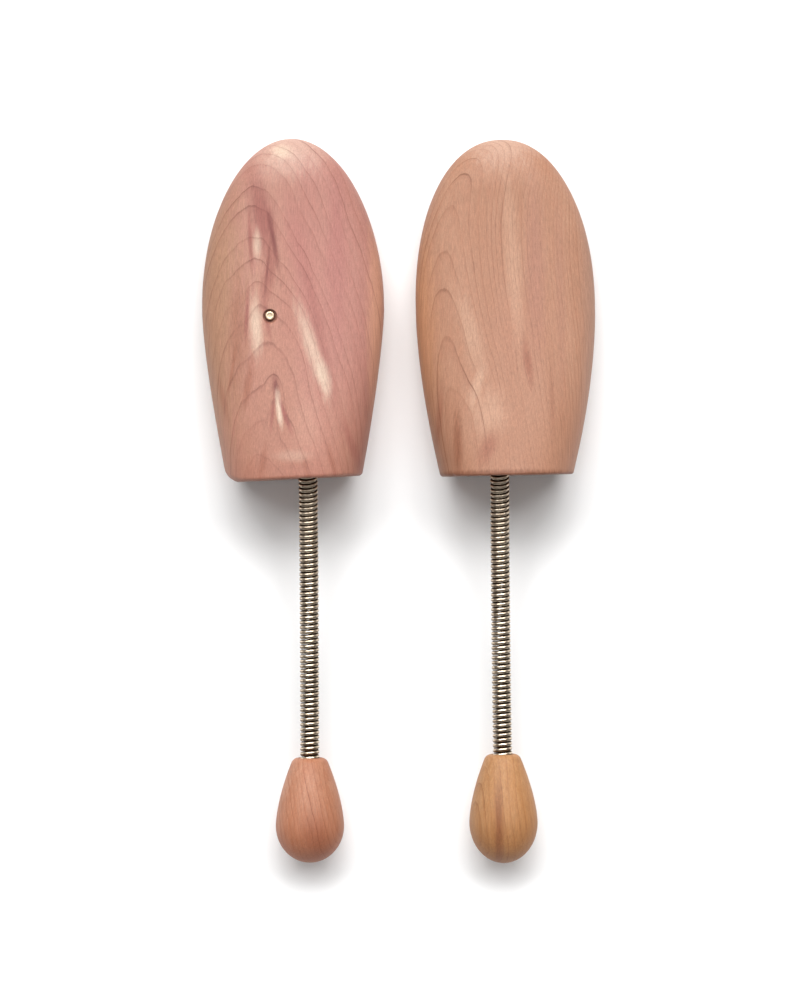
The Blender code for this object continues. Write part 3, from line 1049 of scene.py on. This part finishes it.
RIGHT_BLOCK = {
    "seed": 31.0,
    "pith_x": -40.0,
    "pith_drift": 26.0,
    "drift_length": 22.0,
    "tip_y": 151.6,
    "pith_depth": 27.0,
    "surface": (24.0, 26.0, 151.6, 1.7),
    "taper": 0.13,
    "sway": 1.6,
    "wander": 0.35,
    "wobble": 0.06,
    "ring": 1.9,
    "bumps": (
        bend(-6, 30, 14, 30, -2.0),
        bend(8, 48, 5, 14, 1.2),
    ),
    "pale": shade(203, 155, 127),
    "deep": shade(190, 138, 109),
    "late": shade(184, 128, 100),
    "tone": 0.35,
    "streaks": 0.5,
    "streak_colour": shade(184, 126, 100),
    "line": 1.0,
    "line_fade": (-20.0, 10.0, 0.6),
    "line_colour": shade(124, 72, 48),
    "ripple": 0.025,
    "rear": (50.0, 0.0, 0.5, shade(178, 124, 96)),
    "end_grain": 0.9,
    "end_dark": shade(128, 78, 54),
    "end_pale": shade(168, 114, 86),
    "patches": (
        spot(-39, 62, 9, 62, shade(218, 156, 114), 0.65),
        spot(38, 70, 5, 80, shade(186, 142, 120), 0.6),
        spot(0, 150, 20, 12, shade(224, 190, 170), 0.5),
        spot(-15, 62, 5, 22, shade(220, 180, 152), 0.5, lean=14),
        spot(4, 46, 27, 60, shade(186, 134, 108), 0.55),
        spot(6, 66, 14, 22, shade(190, 134, 108), 0.5),
        spot(9.5, 50, 2.4, 13, BRICK, 0.7, lean=8),
        spot(14, 92, 5, 44, shade(180, 124, 106), 0.5),
        spot(25, 80, 2.5, 50, shade(182, 130, 108), 0.45),
        spot(4, 96, 4, 46, shade(214, 170, 142), 0.5, lean=3),
        spot(-8, 28, 9, 12, shade(216, 172, 144), 0.5),
        spot(-13, 40, 3, 10, shade(220, 178, 150), 0.5, lean=-20),
        spot(-22, 14, 2.4, 17, shade(150, 92, 66), 0.75),
        spot(-9, 12, 4, 9, BRICK, 0.6, lean=-22),
        spot(-30, 26, 1.6, 16, BRICK, 0.45, lean=-6),
        spot(20, 30, 1.4, 22, shade(160, 106, 82), 0.45),
        spot(14, 16, 14, 12, shade(186, 134, 106), 0.5),
        # Painted shade along the rounded rear edge, which faces away from the key light, over the end grain's
        # own darker colour.
        spot(-4, -1, 40, 3.2, shade(136, 84, 60), 0.8, core=0.6),
    ),
}

LEFT_KNOB = {
    "seed": 57.0,
    "pith_x": 46.0,
    "pith_depth": 16.0,
    "taper": -0.22,
    "sway": 2.6,
    "wander": 0.8,
    "wobble": 0.22,
    "ring": 2.3,
    "pale": shade(214, 162, 134),
    "deep": shade(200, 136, 102),
    "late": shade(184, 112, 80),
    "tone": 0.35,
    "streaks": 0.6,
    "streak_colour": shade(172, 100, 66),
    "line": 0.8,
    "line_colour": shade(136, 74, 50),
    "ripple": 0.02,
    # Painted shade: the knob grows darker and more orange towards its far end, away from the key light.
    "rear": (-14.0, -46.0, 0.65, shade(178, 102, 66)),
    "end_grain": 0.4,
    "end_dark": shade(150, 92, 66),
    "end_pale": shade(180, 122, 94),
    "patches": (
        spot(3, -34, 7, 15, shade(150, 82, 56), 0.5, lean=10),
    ),
}

RIGHT_KNOB = {
    "seed": 73.0,
    "pith_x": -30.0,
    "pith_depth": 16.0,
    "taper": 0.05,
    "sway": 3.0,
    "wander": 0.9,
    "wobble": 0.22,
    "ring": 3.0,
    "pale": shade(214, 166, 122),
    "deep": shade(200, 144, 92),
    "late": shade(186, 126, 78),
    "tone": 0.35,
    "streaks": 0.6,
    "streak_colour": shade(172, 112, 62),
    "line": 0.8,
    "line_colour": shade(132, 80, 50),
    "ripple": 0.02,
    # Painted shade: the knob grows darker and more orange towards its far end, away from the key light.
    "rear": (-14.0, -48.0, 0.65, shade(176, 116, 66)),
    "end_grain": 0.4,
    "end_dark": shade(142, 90, 58),
    "end_pale": shade(176, 124, 88),
    "patches": (
        spot(-2.4, -32, 2.4, 24, shade(138, 78, 48), 0.7),
    ),
}


# ---- Build ----


def finish_wood(piece, body, node, material):
    piece.data.materials.append(material)
    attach(piece, body)
    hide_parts(node)


FIGURES = {"left": (LEFT_BLOCK, LEFT_KNOB), "right": (RIGHT_BLOCK, RIGHT_KNOB)}


def build_pair():
    steel = spring_steel()
    for side in SIDES:
        block_figure, knob_figure = FIGURES[side]
        facts = BLOCKS[side]
        place = PLACES[side]
        block = make_block(side, place.to_euler().z)
        if side == "left":
            cut_pin_hole(block)
            pin = make_pin()
            pin.data.transform(place)
            pin.data.materials.append(pin_brass())
            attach(pin, "left_block")
            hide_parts("left_marker_pin")
        block.data.transform(place)
        wood = cedar(f"{side}_block_cedar", place @ block_place(facts), block_figure)
        finish_wood(block, f"{side}_block", f"{side}_toe_block", wood)
        knob = make_knob(side)
        knob.data.transform(place)
        knob_frame = place @ Matrix.Translation(centre(SPRING_LENGTH))
        wood = cedar(f"{side}_knob_cedar", knob_frame, knob_figure)
        finish_wood(knob, f"{side}_knob", f"{side}_heel_knob", wood)
        make_spring(side, steel)


# ---- Studio ----

FLOOR_DROP = 0.0002  # below the soles, so that the two surfaces don't coincide
FLOOR_SIZE = 30.0


def make_floor():
    shader = Shader("studio_floor")
    where = shader.node("ShaderNodeTexCoord").outputs["Object"]
    grain = shader.noise(shader.scaled(where, 40.0), 2.0)
    colour = shader.mix(shader.smooth(grain, -1.0, 1.0), (0.9, 0.9, 0.9), (0.91, 0.91, 0.91))
    shader.join(colour, shader.surface.inputs["Base Color"])
    shader.surface.inputs["Roughness"].default_value = 1.0
    shader.surface.inputs["Specular IOR Level"].default_value = 0.0
    half = FLOOR_SIZE / 2
    corners = [(-half, -half, 0), (half, -half, 0), (half, half, 0), (-half, half, 0)]
    floor = mesh_object("studio_floor", corners, [(0, 1, 2, 3)])
    floor.location.z = -FLOOR_DROP
    floor.data.materials.append(shader.material)


KEY_ELEVATION = 46.5
KEY_SPREAD = 27
KEY_LIGHTS = ((-46, 0.97), (-16, 1.55), (14, 1.55), (46, 1.07))  # turn from +Y in degrees, and strength


FILL_ELEVATION = 9
FILL_STRENGTH = 0.65
FILL_SPREAD = 35


def make_sun(name, turn, elevation, strength, spread):
    """A broad sun. The turn is from +Y, in degrees."""
    data = bpy.data.lights.new(name, "SUN")
    data.energy = strength
    data.angle = math.radians(spread)
    lamp = bpy.data.objects.new(name, data)
    azimuth, height = math.radians(turn), math.radians(elevation)
    level = math.cos(height)
    away = Vector((math.sin(azimuth) * level, math.cos(azimuth) * level, math.sin(height)))
    lamp.rotation_mode = "QUATERNION"
    lamp.rotation_quaternion = away.to_track_quat("Z", "Y")
    bpy.context.scene.collection.objects.link(lamp)


def make_lights():
    """A wide soft key from beyond the toes, as broad suns side by side, and a low fill from the other end."""
    for k, (turn, strength) in enumerate(KEY_LIGHTS):
        make_sun(f"key_{k}", turn, KEY_ELEVATION, strength, KEY_SPREAD)
    make_sun("fill", 180, FILL_ELEVATION, FILL_STRENGTH, FILL_SPREAD)


DOME = ((0.0, 0.15), (0.35, 0.12), (0.62, 0.30), (1.0, 0.36))  # height up the dome, and brightness


def make_world():
    """A dome that is dim at its rim. The camera sees plain white instead."""
    world = bpy.data.worlds.new("studio")
    bpy.context.scene.world = world
    world.use_nodes = True
    tree = world.node_tree
    background = tree.nodes["Background"]

    def node(kind, **settings):
        made = tree.nodes.new(kind)
        for key, value in settings.items():
            setattr(made, key, value)
        return made

    direction = node("ShaderNodeTexCoord")
    parts = node("ShaderNodeSeparateXYZ")
    tree.links.new(direction.outputs["Generated"], parts.inputs[0])
    ramp = node("ShaderNodeValToRGB")
    tree.links.new(parts.outputs["Z"], ramp.inputs[0])
    while len(ramp.color_ramp.elements) < len(DOME):
        ramp.color_ramp.elements.new(0.5)
    for element, (at, level) in zip(ramp.color_ramp.elements, DOME):
        element.position = at
        element.color = (level, level, level, 1)
    path = node("ShaderNodeLightPath")
    seen = node("ShaderNodeMix", data_type="RGBA")
    tree.links.new(path.outputs["Is Camera Ray"], seen.inputs[0])
    tree.links.new(ramp.outputs["Color"], seen.inputs[6])
    seen.inputs[7].default_value = (1, 1, 1, 1)
    tree.links.new(seen.outputs[2], background.inputs["Color"])
    background.inputs["Strength"].default_value = 1.0


bpy.context.scene.view_settings.view_transform = "Standard"
make_camera()
build_pair()
make_floor()
make_lights()
make_world()
